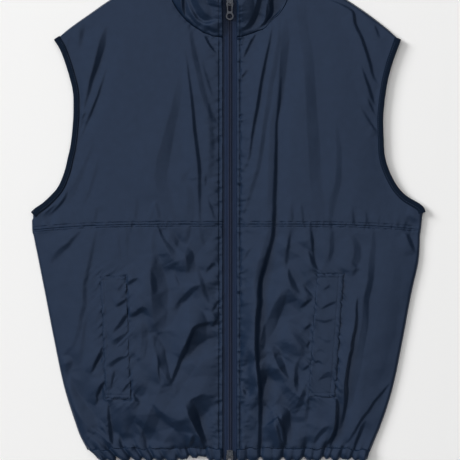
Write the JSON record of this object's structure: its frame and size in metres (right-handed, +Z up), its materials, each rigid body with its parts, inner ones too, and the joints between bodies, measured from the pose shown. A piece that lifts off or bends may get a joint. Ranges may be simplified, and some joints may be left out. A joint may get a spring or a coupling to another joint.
{
  "type": "vest laid flat",
  "caption": "Navy zip-front vest with a stand collar, bound armholes, welt pockets and a gathered hem, zipped shut and laid flat on its back.",
  "frame": {"origin": "middle of the underside, on the surface that the vest lies on", "axes": "+X to the right as seen from above, +Y from the hem to the collar, +Z up out of the front"},
  "size_m": [0.5924, 0.8236, 0.0168],
  "materials": {
    "navy_nylon": "matt, with a faint sheen",
    "navy_knit_binding": "matt knit",
    "navy_zip_tape": "matt",
    "navy_zip_coil": "satin",
    "gunmetal": "satin"
  },
  "bodies": {
    "vest": {"back_panel": "navy_nylon", "hem_back": "navy_nylon", "collar": "navy_nylon", "front_yoke_left": "navy_nylon", "front_yoke_right": "navy_nylon", "front_lower_left": "navy_nylon", "front_lower_right": "navy_nylon", "pocket_welt_left": "navy_nylon", "pocket_welt_right": "navy_nylon", "hem_front_left": "navy_nylon", "hem_front_right": "navy_nylon", "armhole_binding_left": "navy_knit_binding", "armhole_binding_right": "navy_knit_binding", "zip_tape_left": "navy_zip_tape", "zip_tape_right": "navy_zip_tape", "zip_chain": "navy_zip_coil", "zip_slider_top": "gunmetal", "zip_slider_bottom": "gunmetal"},
    "pull_top": {"zip_pull_top": "gunmetal"},
    "pull_bottom": {"zip_pull_bottom": "gunmetal"}
  },
  "joints": [
    {"name": "top_pull_hinge", "type": "hinge", "parent": "vest", "child": "pull_top", "pos_m": [0.00225, 0.2932, 0.0122], "axis": [-1, 0, 0], "range_deg": [0, 170]},
    {"name": "bottom_pull_hinge", "type": "hinge", "parent": "vest", "child": "pull_bottom", "pos_m": [0.00225, -0.3858, 0.0122], "axis": [-1, 0, 0], "range_deg": [0, 170]}
  ]
}
